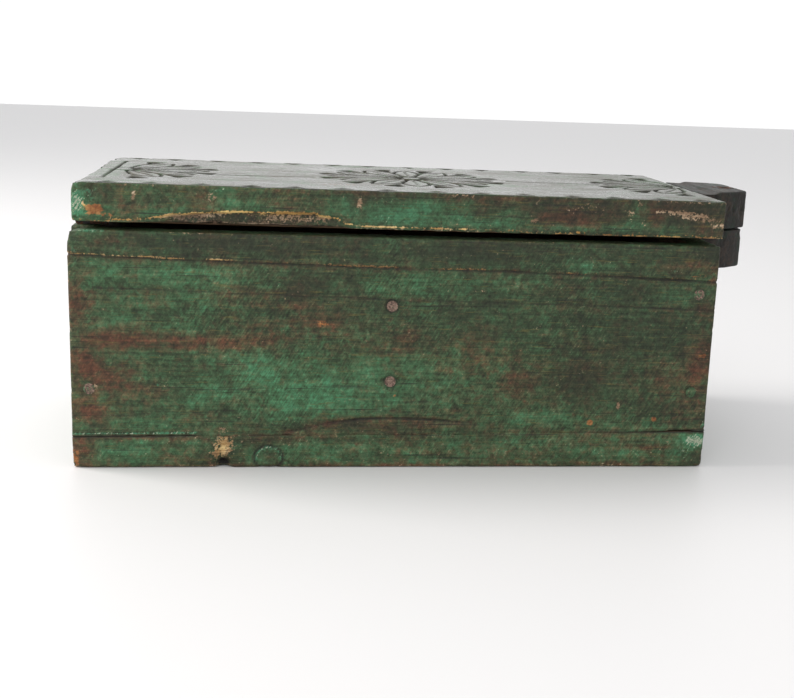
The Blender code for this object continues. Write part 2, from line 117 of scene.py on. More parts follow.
def slab(size, cell, step=4, fine_top=True):
    """A closed block as (points, faces, kinds). Its edges and, if fine_top, its top have an even skin, and its other
    large faces are coarser by step. Kinds: 0 edge, 1 top, 2 bottom."""
    counts = [max(3 * step, int(round(size[i] / cell / step)) * step) for i in (0, 1)]
    nx, ny = counts
    nz = max(3, int(round(size[2] / cell)))
    ring = [(i, 0) for i in range(nx)] + [(nx, j) for j in range(ny)]
    ring += [(i, ny) for i in range(nx, 0, -1)] + [(0, j) for j in range(ny, 0, -1)]
    around = len(ring)
    points, faces, kinds = [], [], []
    for k in range(nz + 1):
        points += [(i / nx * size[0], j / ny * size[1], k / nz * size[2]) for i, j in ring]
    for k in range(nz):
        for a in range(around):
            b = (a + 1) % around
            faces.append((k * around + a, k * around + b, (k + 1) * around + b, (k + 1) * around + a))
    kinds += [0] * len(faces)
    place = {at: a for a, at in enumerate(ring)}
    for top in (False, True):
        start = nz * around if top else 0
        height = size[2] if top else 0.0
        fine = top and fine_top
        jump = 1 if fine else step
        inner = {}
        for j in range(jump, ny, jump):
            for i in range(jump, nx, jump):
                inner[i, j] = len(points)
                points.append((i / nx * size[0], j / ny * size[1], height))
        made = []
        if fine:
            def index(i, j):
                return inner[i, j] if (i, j) in inner else start + place[i, j]
            for j in range(ny):
                for i in range(nx):
                    made.append((index(i, j), index(i + 1, j), index(i + 1, j + 1), index(i, j + 1)))
        else:
            for j in range(step, ny - step, step):
                for i in range(step, nx - step, step):
                    made.append((inner[i, j], inner[i + step, j], inner[i + step, j + step], inner[i, j + step]))

            def nearest(i, j):
                ci = min(max(int(round(i / step)) * step, step), nx - step)
                cj = min(max(int(round(j / step)) * step, step), ny - step)
                return inner[ci, cj]
            for a in range(around):
                b = (a + 1) % around
                p, q = nearest(*ring[a]), nearest(*ring[b])
                made.append((start + a, start + b, q) if p == q else (start + a, start + b, q, p))
        faces += made if top else [face[::-1] for face in made]
        kinds += [1 if top else 2] * len(made)
    return np.array(points), faces, np.array(kinds)


def rounded(points, size, radius):
    """Rounds the block's edges by radius, one number a point. Returns points and outward directions."""
    size = np.array(size, float)
    radius = np.minimum(radius, size.min() * 0.49)[:, None]
    core = np.clip(points, radius, size - radius)
    out = points - core
    length = np.maximum(np.linalg.norm(out, axis=1, keepdims=True), 1e-9)
    return core + radius * out / length, out / length


def edge_distance(points, size):
    """How far each surface point is from the nearest edge of the block, in mm."""
    gaps = np.minimum(points, np.array(size, float) - points)
    return np.sort(gaps, axis=1)[:, 1]


def add(name, data):
    obj = bpy.data.objects.new(name, data)
    SCENE.collection.objects.link(obj)
    return obj


def build(name, points, faces, marks, materials, kinds=None):
    """Makes an object from points in mm with float marks on its points."""
    mesh = bpy.data.meshes.new(name)
    mesh.from_pydata((points * MM).tolist(), [], [tuple(int(i) for i in f) for f in faces])
    obj = add(name, mesh)
    for mark, values in marks.items():
        layer = mesh.attributes.new(mark, "FLOAT", "POINT")
        layer.data.foreach_set("value", np.asarray(values, np.float32))
    for material in materials:
        mesh.materials.append(material)
    if kinds is not None:
        mesh.polygons.foreach_set("material_index", np.asarray(kinds, np.int32))
    mesh.polygons.foreach_set("use_smooth", np.ones(len(mesh.polygons), bool))
    mesh.update()
    return obj


# ---------------- materials


class Graph:
    """Short names for the nodes of one material."""

    def __init__(self, name):
        self.material = bpy.data.materials.new(name)
        self.material.use_nodes = True
        self.tree = self.material.node_tree
        self.shader = self.tree.nodes["Principled BSDF"]
        self.coords = self.new("TexCoord").outputs["Object"]

    def link(self, source, socket):
        if isinstance(source, (int, float)):
            socket.default_value = source
        elif isinstance(source, tuple):
            socket.default_value = (*source, 1) if len(socket.default_value) == 4 else source
        else:
            self.tree.links.new(source, socket)

    def new(self, kind):
        return self.tree.nodes.new("ShaderNode" + kind)

    def stretched(self, x, y, z):
        node = self.new("Mapping")
        self.link(self.coords, node.inputs["Vector"])
        node.inputs["Scale"].default_value = (x, y, z)
        return node.outputs["Vector"]

    def along(self, axis, squeeze):
        """Coordinates that draw a pattern out along one axis, as grain is."""
        return self.stretched(*(squeeze if i == axis else 1.0 for i in range(3)))

    def slanted(self, turn, squeeze):
        """Coordinates that make a pattern run along a slanting Z axis."""
        node = self.new("Mapping")
        node.vector_type = "TEXTURE"
        self.link(self.coords, node.inputs["Vector"])
        node.inputs["Rotation"].default_value = turn
        node.inputs["Scale"].default_value = (1, 1, 1 / squeeze)
        return node.outputs["Vector"]

    def blend(self, base, *terms):
        """base plus weight times value for each (value, weight). A noise counts from its middle, 0.5."""
        total = base
        for value, weight in terms:
            if value.node.bl_idname == "ShaderNodeTexNoise":
                value = self.math("SUBTRACT", value, 0.5)
            total = self.times_add(value, weight, total)
        return total

    def noise(self, vector, scale, detail=4.0, rough=0.55, warp=0.0):
        node = self.new("TexNoise")
        self.link(vector, node.inputs["Vector"])
        node.inputs["Scale"].default_value = scale
        node.inputs["Detail"].default_value = detail
        node.inputs["Roughness"].default_value = rough
        node.inputs["Distortion"].default_value = warp
        return node.outputs["Fac"]

    def mark(self, name):
        node = self.new("Attribute")
        node.attribute_name = name
        return node.outputs["Fac"]

    def math(self, operation, a, b=0.0, c=0.0, clamp=False):
        node = self.new("Math")
        node.operation = operation
        node.use_clamp = clamp
        for value, socket in zip((a, b, c), node.inputs):
            self.link(value, socket)
        return node.outputs[0]

    def times(self, a, b, clamp=False):
        return self.math("MULTIPLY", a, b, clamp=clamp)

    def times_add(self, a, b, c, clamp=False):
        return self.math("MULTIPLY_ADD", a, b, c, clamp)

    def step(self, value, low, high):
        node = self.new("MapRange")
        node.interpolation_type = "SMOOTHSTEP"
        self.link(value, node.inputs["Value"])
        node.inputs["From Min"].default_value = low
        node.inputs["From Max"].default_value = high
        return node.outputs["Result"]

    def ramp(self, value, stops):
        node = self.new("ValToRGB")
        self.link(value, node.inputs["Fac"])
        ramp = node.color_ramp
        while len(ramp.elements) < len(stops):
            ramp.elements.new(0.5)
        for element, (position, color) in zip(ramp.elements, stops):
            element.position = position
            element.color = (*color, 1)
        return node.outputs["Color"]

    def mix(self, share, a, b, blend="MIX"):
        node = self.new("Mix")
        node.data_type = "RGBA"
        node.blend_type = blend
        self.link(share, node.inputs["Factor"])
        self.link(a, node.inputs[6])
        self.link(b, node.inputs[7])
        return node.outputs[2]

    def bump(self, height, strength, distance, below=None):
        node = self.new("Bump")
        self.link(height, node.inputs["Height"])
        node.inputs["Strength"].default_value = strength
        node.inputs["Distance"].default_value = distance
        if below is not None:
            self.link(below, node.inputs["Normal"])
        return node.outputs["Normal"]

    def finish(self, color, roughness, normal=None, metallic=0.0):
        self.link(color, self.shader.inputs["Base Color"])
        self.link(roughness, self.shader.inputs["Roughness"])
        self.link(metallic, self.shader.inputs["Metallic"])
        if normal is not None:
            self.link(normal, self.shader.inputs["Normal"])
        return self.material


def raw_wood(g, axis, dark, mid, light):
    """Colour of aged bare wood with its grain along one axis, and the grain itself."""
    fibre = g.noise(g.along(axis, 0.05), 900, 5, 0.6, 0.3)
    band = g.noise(g.along(axis, 0.12), 130, 3, 0.5, 0.6)
    both = g.math("ADD", g.times(fibre, 0.55), g.times(band, 0.45))
    return g.ramp(both, [(0.36, dark), (0.5, mid), (0.62, light)]), both


PAINT = [
    (0.28, (0.012, 0.020, 0.007)), (0.43, (0.028, 0.058, 0.022)),
    (0.57, (0.044, 0.120, 0.050)), (0.76, (0.066, 0.240, 0.115)),
]
STAIN = [
    (0.28, (0.020, 0.009, 0.004)), (0.43, (0.062, 0.025, 0.012)),
    (0.57, (0.125, 0.047, 0.022)), (0.76, (0.230, 0.105, 0.050)),
]
GOLDEN = ((0.170, 0.072, 0.018), (0.440, 0.245, 0.065), (0.760, 0.540, 0.210))
ASHEN = ((0.110, 0.062, 0.036), (0.290, 0.190, 0.115), (0.560, 0.430, 0.290))
INSIDE = ((0.055, 0.030, 0.016), (0.130, 0.075, 0.040), (0.220, 0.135, 0.075))
RUST = [(0.3, (0.090, 0.026, 0.008)), (0.5, (0.260, 0.085, 0.022)), (0.7, (0.420, 0.190, 0.060))]
SAW_SLANT = radians(32)
HATCH = {0: (0, SAW_SLANT, 0), 1: (-SAW_SLANT, 0, 0)}


def painted_wood(name, axis):
    """Old green paint rubbed through to red-brown and bare wood. Grain and slanting tool marks show in it."""
    g = Graph(name)
    coarse = g.noise(g.coords, 150, 4, 0.6, 0.5)
    clumps = g.noise(g.coords, 330, 3, 0.6, 0.4)
    mottle = g.noise(g.coords, 620, 3, 0.62, 0.3)
    fine = g.noise(g.coords, 1500, 3, 0.65)
    hatch = g.noise(g.slanted(HATCH[axis], 0.16), 1250, 3, 0.6, 0.2)
    grain = g.noise(g.along(axis, 0.035), 780, 4, 0.62, 0.2)
    crossed = g.step(g.noise(g.coords, 22, 2, 0.5), 0.4, 0.62)
    tone = g.blend(0.49, (coarse, 0.5), (clumps, 0.45), (mottle, 0.28), (grain, 0.34))
    sawn = g.times_add(crossed, 0.35, 0.1)
    tone = g.math("ADD", tone, g.times(g.math("SUBTRACT", hatch, 0.5), sawn))
    tone = g.times_add(g.mark("fresh"), 0.085, tone)
    tone = g.times_add(g.mark("dark"), -0.065, tone)

    islands = g.noise(g.along(axis, 0.6), 95, 4, 0.65, 0.8)
    flakes = g.noise(g.coords, 300, 3, 0.55, 0.6)
    rub = g.blend(0.45, (islands, 0.5), (flakes, 0.6), (mottle, 0.25), (grain, 0.3))
    rub = g.times_add(g.mark("red"), 0.165, rub)
    rub = g.times_add(g.mark("fresh"), -0.06, rub)
    color = g.mix(g.step(rub, 0.34, 0.88), g.ramp(tone, PAINT), g.ramp(tone, STAIN))
    color = g.mix(g.times(g.mark("dark"), 0.26, clamp=True), color, (0.020, 0.026, 0.012))

    ochre = g.step(g.noise(g.along(axis, 0.07), 1300, 3, 0.6, 0.2), 0.60, 0.70)
    color = g.mix(g.times(ochre, 0.5), color, (0.125, 0.105, 0.028))
    threads = g.step(g.noise(g.along(axis, 0.02), 1100, 3, 0.6, 0.1), 0.625, 0.70)
    color = g.mix(g.times(threads, 0.75), color, (0.012, 0.010, 0.007))
    flecks = g.step(g.noise(g.coords, 330, 2, 0.5, 1.5), 0.725, 0.77)
    color = g.mix(g.times(flecks, 0.6), color, (0.26, 0.20, 0.12))
    jade = g.step(g.blend(0.0, (mottle, 1.6), (coarse, 0.8), (g.mark("pale"), 1.0)), 0.32, 0.85)
    color = g.mix(g.times(jade, 0.85), color, (0.058, 0.240, 0.125))
    chalk = g.step(g.blend(0.0, (hatch, 2.4), (fine, 1.8), (g.mark("pale"), 1.0)), 0.72, 1.0)
    color = g.mix(chalk, color, (0.36, 0.40, 0.29))
    amber = g.step(g.blend(0.0, (mottle, 1.6), (grain, 0.8), (g.mark("orange"), 1.0)), 0.35, 0.75)
    color = g.mix(g.times(amber, 0.9), color, g.ramp(tone, RUST))

    ashen, _ = raw_wood(g, axis, *ASHEN)
    golden, _ = raw_wood(g, axis, *GOLDEN)
    wood = g.mix(g.times(g.mark("orange"), 3.0, clamp=True), ashen, golden)
    bare = g.step(g.blend(0.0, (mottle, 2.1), (fine, 1.3), (hatch, 0.8), (g.mark("bare"), 1.0)), 0.48, 0.78)
    color = g.mix(bare, color, wood)
    shade = g.blend(1.0, (fine, 1.3), (hatch, 0.7), (mottle, 0.65), (grain, 0.4))
    color = g.mix(0.9, color, shade, "MULTIPLY")
    # Near-black where the mark says: real dirt, and painted shade in cracks, seams, holes, peg rims and carved cuts.
    grime = g.blend(0.0, (mottle, 0.5), (g.mark("grime"), 1.0))
    color = g.mix(g.times(grime, 1.0, clamp=True), color, (0.009, 0.008, 0.006))

    rough = g.times_add(g.math("SUBTRACT", mottle, 0.5), -0.5, 0.56)
    rough = g.times_add(bare, 0.2, rough, clamp=True)
    g.shader.inputs["Specular IOR Level"].default_value = 0.36
    relief = g.blend(0.0, (mottle, 1.0), (clumps, 1.0), (grain, 1.0), (hatch, 0.8))
    normal = g.bump(relief, 0.65, 0.0008)
    return g.finish(color, rough, g.bump(fine, 0.3, 0.0003, normal))


def bare_wood(name, axis, dark, mid, light, roughness=0.72):
    """Unpainted old wood, dirtied by handling."""
    g = Graph(name)
    color, fibre = raw_wood(g, axis, dark, mid, light)
    stains = g.noise(g.coords, 28, 5, 0.6, 0.8)
    color = g.mix(g.times(g.step(stains, 0.48, 0.7), 0.6), color, tuple(0.45 * c for c in dark))
    color = g.mix(g.times(g.mark("grime"), 1.0, clamp=True), color, (0.012, 0.009, 0.006))
    rough = g.math("ADD", g.times(fibre, 0.2), roughness - 0.1)
    return g.finish(color, rough, g.bump(fibre, 0.5, 0.0005))


def lid_top_wood(name):
    """The lid's top: dark green-brown, rubbed to a dull shine, with soiling and painted shade in the cuts."""
    g = Graph(name)
    patches = g.noise(g.stretched(0.5, 1, 1), 45, 4, 0.6, 0.6)
    streaks = g.noise(g.stretched(0.07, 1, 1), 420, 5, 0.65, 0.3)
    mottle = g.noise(g.coords, 560, 3, 0.62, 0.3)
    tone = g.blend(0.5, (patches, 0.5), (streaks, 0.6), (mottle, 0.5))
    color = g.ramp(tone, [(0.34, (0.012, 0.013, 0.009)), (0.5, (0.034, 0.034, 0.022)), (0.66, (0.080, 0.070, 0.045))])
    moss = g.noise(g.coords, 60, 4, 0.6, 0.5)
    green = g.step(g.blend(0.0, (moss, 1.0), (mottle, 0.8), (g.mark("fresh"), 0.2)), 0.02, 0.16)
    color = g.mix(g.times(green, 0.6), color, g.ramp(tone, PAINT))
    wood, fibre = raw_wood(g, 0, (0.050, 0.024, 0.012), (0.125, 0.062, 0.032), (0.230, 0.130, 0.070))
    bare = g.step(g.blend(0.0, (mottle, 1.6), (streaks, 0.8), (g.mark("bare"), 1.0)), 0.42, 0.66)
    color = g.mix(bare, color, wood)
    # Near-black and rougher where the mark says: real dirt and painted shade in the cuts.
    grime = g.times(g.mark("grime"), 1.0, clamp=True)
    color = g.mix(grime, color, (0.005, 0.005, 0.003))
    g.shader.inputs["Specular IOR Level"].default_value = 0.66
    g.shader.inputs["Specular Tint"].default_value = (1.0, 1.0, 0.91, 1)
    rough = g.blend(0.23, (streaks, 0.8), (mottle, 0.6), (patches, 0.55))
    rough = g.times_add(grime, 0.9, rough, clamp=True)
    normal = g.bump(g.blend(0.0, (streaks, 1.0), (fibre, 0.5), (mottle, 0.7)), 0.42, 0.0005)
    return g.finish(color, rough, normal)


def nose_wood(name):
    """Nearly black handled wood with a little brown and green in it."""
    g = Graph(name)
    grain = g.noise(g.stretched(1, 0.1, 1), 520, 5, 0.62, 0.3)
    mottle = g.noise(g.coords, 600, 3, 0.6, 0.3)
    patches = g.noise(g.coords, 70, 4, 0.6, 0.5)
    tone = g.blend(0.5, (grain, 0.6), (mottle, 0.5), (patches, 0.6))
    color = g.ramp(tone, [(0.32, (0.005, 0.004, 0.003)), (0.5, (0.013, 0.010, 0.008)), (0.68, (0.044, 0.030, 0.022))])
    green = g.step(g.blend(0.5, (g.noise(g.coords, 60, 4, 0.6, 0.4), 1.0), (mottle, 0.6)), 0.46, 0.66)
    color = g.mix(g.times(green, 0.6), color, (0.010, 0.030, 0.018))
    g.shader.inputs["Specular IOR Level"].default_value = 0.2
    rough = g.blend(0.52, (grain, 0.5), (mottle, 0.5))
    return g.finish(color, rough, g.bump(g.blend(0.0, (grain, 1.0), (mottle, 0.7)), 0.45, 0.0005))


def old_iron(name):
    """Blackened iron with brown rust."""
    g = Graph(name)
    rust = g.step(g.noise(g.coords, 420, 5, 0.65, 0.6), 0.42, 0.6)
    color = g.mix(rust, (0.045, 0.042, 0.040), (0.120, 0.045, 0.020))
    rough = g.math("ADD", 0.45, g.times(rust, 0.35))
    metal = g.math("SUBTRACT", 0.9, g.times(rust, 0.7))
    return g.finish(color, rough, g.bump(g.noise(g.coords, 900, 4, 0.6), 0.5, 0.0003), metal)


def peg_wood(name, paint_share):
    """End grain of the pegs: pinkish brown, smeared with paint."""
    g = Graph(name)
    grain = g.noise(g.stretched(1, 0.2, 1), 1400, 4, 0.6)
    ends = [(0.38, (0.060, 0.034, 0.024)), (0.5, (0.145, 0.088, 0.066)), (0.62, (0.270, 0.180, 0.135))]
    color = g.ramp(grain, ends)
    paint = g.step(g.noise(g.coords, 420, 4, 0.6, 0.5), 0.66 - 0.3 * paint_share, 0.76 - 0.3 * paint_share)
    color = g.mix(g.times(paint, 0.85), color, g.ramp(grain, PAINT))
    return g.finish(color, 0.7, g.bump(grain, 0.5, 0.0003))


SIDE_PAINT = painted_wood("side_paint", 0)
END_PAINT = painted_wood("end_paint", 1)
INSIDE_LONG = bare_wood("inside_wood_long", 0, *INSIDE)
INSIDE_CROSS = bare_wood("inside_wood_cross", 1, *INSIDE)
LID_TOP_WOOD = lid_top_wood("lid_top_wood")
NOSE_WOOD = nose_wood("nose_wood_dark")
IRON = old_iron("rusty_iron")
PEG_WOOD = peg_wood("peg_end_grain", 0.2)
PEG_SMEARED = peg_wood("peg_end_smeared", 0.55)

# ---------------- measures in mm

BODY = (-152.3, 149.1)
HALF_WIDTH = 69.75
SIDE_THICK = 12.0
END_THICK = 13.0
INNER_HALF = HALF_WIDTH - SIDE_THICK - 0.3
SEAM_LIFT = 0.03
BASE_THICK = 16.5
LEAST_SINK, MOST_SINK = 0.02, 9.0
DIVIDER_LEFT, DIVIDER_THICK, DIVIDER_SPAN = -11.0, 10.0, (17.0, 98.0)
RIM = (111.4, 109.4)
SEAM = (15.1, 18.2)
LID = (-150.0, 150.0)
LID_UNDER = 114.5
LID_THICK = 18.0
PIVOT = (-149.0, 113.0)
TILT = atan2(RIM[0] - RIM[1], LID[1] - LID[0])


def rim_z(x):
    return RIM[0] + (x - BODY[0]) / (BODY[1] - BODY[0]) * (RIM[1] - RIM[0])


def seam_z(x):
    return SEAM[0] + (x - BODY[0]) / (BODY[1] - BODY[0]) * (SEAM[1] - SEAM[0])


# ---------------- boards

# Cracks, each (points along it, half width, depth, how worn its lip is).
LONG_CRACK = [
    (-151, 99.8), (-129, 98.9), (-100, 98.2), (-67, 97.4), (-39, 96.8), (0, 96.0), (50, 95.4), (85, 94.5),
    (118, 93.1), (148, 92.3),
]
NEAR_CRACKS = [
    (LONG_CRACK, 0.6, 0.9, 1.05),
    ([(-140, 85), (-96, 84), (-46, 82.7), (0, 81.3), (81, 80.2), (119, 79.2), (148, 78.4)], 0.45, 0.35, 0.12),
    ([(-52, 17.6), (-44, 19.6), (-32, 22.4), (-18, 23.8), (0, 24.2), (14, 23.6), (30, 22.6)], 0.7, 0.9, 0.22),
    ([(134, 17.8), (141, 18.4), (148, 19.8)], 0.8, 1.0, 0.3),
    ([(-46, 28.0), (-20, 28.6), (4, 27.4)], 0.35, 0.25, 0.0),
    ([(20, 109), (70, 108.2), (120, 107.6)], 0.35, 0.2, 0.0),
]
# Patches of paint and wear, each (x, z, radius along x, radius along z, amount). The long dark bands at z 104 to 106
# are painted shadow below the lid.
NEAR_SOFT = {
    "red": [
        (-150, 80, 8, 10, 1.3), (-146, 60, 6, 8, 0.8), (-144, 47, 8, 8, 2.3), (-130, 43, 8, 6, 1.5),
        (-143, 27, 9, 6, 2.0), (-130, 61, 14, 5, 1.9), (-104, 61, 18, 4.5, 1.4), (-80, 60, 18, 4.5, 1.3),
        (-116, 36, 10, 5, 1.1), (-60, 63, 10, 3, 0.8), (-46, 88, 7, 5, 0.6), (-40, 70, 12, 5, 1.0),
        (-47, 78, 5, 3, 0.9), (2, 63, 9, 6, 0.9), (-20, 57, 20, 5, 0.5), (55, 43, 8, 8, 0.9), (30, 60, 20, 8, 0.5),
        (90, 45, 26, 14, 0.6), (124, 99.5, 15, 4, 0.9), (141, 99, 8, 3.5, 1.3), (144, 52, 8, 15, 2.1),
        (128, 46, 12, 12, 0.8), (144, 79, 6, 5, 1.3), (134, 30, 14, 8, 0.6), (80, 88, 40, 4, 0.3),
        (-134, 106, 10, 2.0, 1.0), (-16, 21, 34, 3.5, 1.0), (36, 40, 60, 20, 0.25), (70, 19, 26, 2, 0.6),
        (-95, 26, 12, 3, 0.6),
    ],
    "fresh": [
        (-66, 47, 18, 8, 1.5), (-42, 38, 16, 8, 1.5), (-24, 32, 24, 6, 1.3), (-16, 46, 14, 8, 1.0),
        (-60, 30, 12, 5, 0.8), (-88, 37, 16, 6, 0.9), (-100, 91, 44, 6, 0.9), (-135, 70, 12, 5, 0.6),
        (10, 40, 16, 8, 0.9), (68, 25, 14, 5, 1.0), (50, 90.5, 8, 4, 0.8), (0, 88, 40, 5, 0.5),
        (85.5, 99.5, 6, 4, 2.2), (128, 84, 9, 4, 1.2), (104, 20, 18, 2.5, 1.0), (-120, 22, 20, 3, 0.6),
        (-70, 104, 20, 3, 0.3), (100, 86, 30, 4, 0.4),
    ],
    # The long bands at z 104 to 106 are painted shadow below the lid; the others darken the paint.
    "dark": [
        (-80, 106, 60, 6, 2.0), (30, 104, 34, 6, 1.9), (-46, 88, 12, 6, 1.6), (-62, 78, 12, 5, 0.6),
        (90, 45, 28, 14, 1.5), (118, 66, 26, 14, 1.0), (110, 88, 34, 8, 0.8), (146, 107, 5, 4, 2.6),
        (-12, 20, 38, 3, 1.0), (130, 30, 14, 8, 0.7), (100, 104, 34, 5, 0.9), (20, 74, 50, 8, 0.4),
        (148, 30, 3, 14, 0.8),
    ],
}
NEAR_SHARP = {
    "pale": [
        (145.5, 14.5, 4.5, 2.4, 0.9), (85.5, 99.5, 3.2, 2.6, 0.42), (-142, 111, 8, 1.0, 0.7),
        (-149, 101, 2, 5, 0.5), (128, 97, 3, 1.4, 0.45), (-60, 47, 20, 6, 0.12), (-30, 37, 20, 6, 0.12),
        (50, 90.5, 2.2, 1.8, 0.35), (-113, 40, 1.0, 1.2, 0.7), (148, 22, 1.6, 4, 0.6), (-96, 88, 20, 4, 0.08),
    ],
    "orange": [
        (-38, 69.8, 4.0, 1.7, 0.62), (145, 56, 2.4, 1.6, 0.75), (91.5, 22.5, 1.5, 1.5, 1.1),
        (123, 24.7, 1.4, 1.3, 1.1), (-3.5, 35.5, 0.8, 0.8, 1.0), (130, 9.5, 9, 0.6, 0.4), (141, 95, 7, 0.8, 0.5),
        (-145, 45, 4, 4, 0.25), (18, 70, 12, 2, 0.15),
    ],
    "bare": [
        (104.7, 31.2, 0.9, 2.2, 1.2), (-109, 41, 2.4, 3.0, 0.36), (64, 70, 3, 2.5, 0.30), (84, 70, 14, 0.5, 0.26),
        # (-141.6, 38.8) is a painted highlight: the lit right side of the hole by the lower left peg.
        (-84, 18.5, 3, 2.0, 0.55), (0, 66, 10, 3, 0.14), (-141.6, 38.8, 2.4, 1.7, 0.75), (36, 86, 20, 0.6, 0.25),
        (-30, 58, 16, 1.0, 0.15), (40, 33, 16, 1.0, 0.15),
    ],
}
PEGS_NEAR = [(-144.0, 38.0), (-144.0, 86.0), (140.5, 38.0), (140.5, 86.0), (-6.0, 42.3), (-6.0, 78.4)]


def peg_marks(x, z, places):
    """How much each point lies in the dark rim round a peg: painted shade in the gap round it, with soiling."""
    rim = np.zeros(len(x))
    for px, pz in places:
        rim = np.maximum(rim, np.clip(1 - np.abs(np.hypot(x - px, z - pz) - 2.9) / 0.9, 0, 1))
    return rim


def clean_marks(count):
    return {mark: np.zeros(count) for mark in ("red", "fresh", "bare", "dark", "grime", "pale", "orange")}


def board(name, node, size, cell, to_world, seed, materials, detail=None, radius=1.0):
    """A hand-sawn board. to_world places its own (length, height, thickness) axes; detail adds cuts and marks."""
    points, faces, kinds = slab(size, cell)
    flat = to_world(points)
    wear = noise(flat, (26, 26, 26), seed, 3)
    tight = 1 - 0.75 * np.exp(-points[:, 1] / 3.0)
    moved, out = rounded(points, size, (radius * (1 + 0.6 * wear) + 0.1) * tight)
    ripple = 0.13 * noise(flat, (60, 60, 30), seed + 5, 3) + 0.07 * noise(flat, (9, 3, 3), seed + 9, 2)
    nicks = np.clip(noise(flat, (6, 4, 4), seed + 13, 3) - 0.22, 0, 1)
    edge = edge_distance(points, size)
    sink = 0.12 + ripple + 2.6 * nicks * np.exp(-edge / 1.1) * tight
    marks = clean_marks(len(points))
    marks["red"] += 0.35 * np.exp(-edge / 4.0)
    marks["bare"] += 0.42 * np.exp(-edge / 0.8) * (0.5 + 1.1 * wear) * tight
    if detail:
        sink = detail(flat, points, edge, sink, marks)
    moved = moved - out * np.clip(sink, LEAST_SINK, MOST_SINK)[:, None]
    obj = build(name, to_world(moved), faces, marks, materials, (kinds == 2).astype(int))
    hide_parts(node)
    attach(obj, "box")
    return obj


def near_detail(flat, points, edge, sink, marks):
    x, z = flat[:, 0], flat[:, 2]
    outer = smooth(6.0, 11.5, points[:, 2])
    jitter = 0.5 * noise(flat, (14, 5, 5), 71, 3)
    for line, width, depth, worn in NEAR_CRACKS:
        part = 0.75 + 0.5 * noise(flat, (24, 60, 60), 73, 2)
        hit = along_line(x, z + jitter, line, width * (0.9 + 0.5 * part)) * part
        sink = sink + outer * depth * hit
        # The crack's dark line is painted shade in it, with dirt.
        marks["grime"] += (0.75 + 0.35 * depth) * outer * hit
        lip = along_line(x, z + jitter - width, line, 0.85)
        broken = smooth(0.0, 0.35, noise(flat, (22, 60, 60), 79, 2) + 0.16)
        marks["bare"] += worn * outer * lip * broken * (1 - 0.6 * smooth(60, 110, x))
        marks["orange"] += 0.3 * (worn > 0.5) * outer * lip
        beside = np.clip(1 - np.abs(z + jitter - np.interp(x, *zip(*line))) / 2.5, 0, 1)
        marks["red"] += 0.9 * depth * outer * beside * (x > line[0][0] - 4) * (x < line[-1][0] + 4)
    rim = peg_marks(x, z, PEGS_NEAR) * outer * (1 - 0.6 * (np.abs(x + 6) > 20))
    sink = sink + 0.45 * rim
    # The rim is painted dark: shade in the gap round the peg, with dirt.
    marks["grime"] += 0.75 * rim
    shifted = x + 3.0 * noise(flat, (12, 12, 12), 75, 2), z + 1.8 * noise(flat, (12, 12, 12), 77, 2)
    for mark, spots in NEAR_SOFT.items():
        marks[mark] += blobs(*shifted, spots) * outer
    for mark, spots in NEAR_SHARP.items():
        marks[mark] += blobs(x, z, spots) * outer
    # A dark spot at (-144, 38): painted shade inside the hole there.
    marks["grime"] += outer * (1 - smooth(1.3, 2.5, np.hypot(x + 144, z - 38)))
    left = smooth(-90, -70, x) * (1 - smooth(-20, 0, x)) * smooth(64, 72, z)
    marks["dark"] += outer * (0.45 * smooth(-10, 30, x) * smooth(52, 66, z) + 0.3 * left)
    marks["red"] += 0.35 * outer * smooth(-100, -80, x) * (1 - smooth(-30, -10, x)) * smooth(60, 70, z)
    above = z - seam_z(x)
    dirt_and_shade = np.interp(x, *SEAM_DIRT_AND_SHADE) * (0.8 + 0.5 * noise(flat, (9, 30, 30), 87, 2))
    chips = np.clip(noise(flat, (8, 5, 4), 83, 3), 0, 1) * np.exp(-above / 1.6)
    sink = sink + 1.5 * chips * dirt_and_shade * outer
    # A dark line along the seam: painted shade in the joint, with dirt.
    marks["grime"] += outer * dirt_and_shade * bump(above, 0.7)
    marks["pale"] += 0.75 * outer * bump(above - 1.4, 0.6) * (x < -95)
    marks["red"] += 0.5 * outer * np.exp(-above / 2.0) * np.clip(0.3 + noise(flat, (30, 9, 9), 89, 2), 0, 1)
    return sink + 1.6 * bump(x - BODY[0], 5, z - rim_z(x), 4)


def plain_detail(places, seed):
    """Grain cracks, peg rims and soft patches for a board that isn't the near one."""
    def detail(flat, points, edge, sink, marks):
        length = points[:, 0]
        height = flat[:, 2]
        outer = smooth(points[:, 2].max() * 0.5, points[:, 2].max() * 0.95, points[:, 2])
        rng = np.random.default_rng(seed)
        for _ in range(3):
            start = rng.uniform(25, 100)
            begin = rng.uniform(0, 0.5) * length.max()
            end = begin + rng.uniform(0.3, 0.6) * length.max()
            middle = (begin + end) / 2, start + rng.uniform(-2, 2)
            line = [(begin, start), middle, (end, start + rng.uniform(-3, 3))]
            hit = along_line(length, height + 0.5 * noise(flat, (12, 12, 5), seed + 3, 2), line, 0.7)
            sink = sink + 0.8 * outer * hit
            # The crack's dark line is painted shade in it, with dirt.
            marks["grime"] += 0.9 * outer * hit
        if places:
            rim = peg_marks(flat[:, 0], height, places) * outer
            sink = sink + 0.5 * rim
            # The rim is painted dark: shade in the gap round the peg, with dirt.
            marks["grime"] += 0.85 * rim
        cloud = noise(flat, (70, 40, 16), seed + 21, 3)
        marks["red"] += 1.1 * smooth(0.1, 0.6, cloud) * outer
        marks["fresh"] += 1.0 * smooth(0.05, 0.6, -cloud) * outer
        marks["dark"] += 0.7 * smooth(0.1, 0.6, noise(flat, (60, 60, 12), seed + 31, 3)) * outer
        # A dark line at the seam's height: painted shade in the joint, with dirt.
        marks["grime"] += 0.8 * outer * np.exp(-np.abs(height - seam_z(flat[:, 0])) / 0.6)
        return sink
    return detail


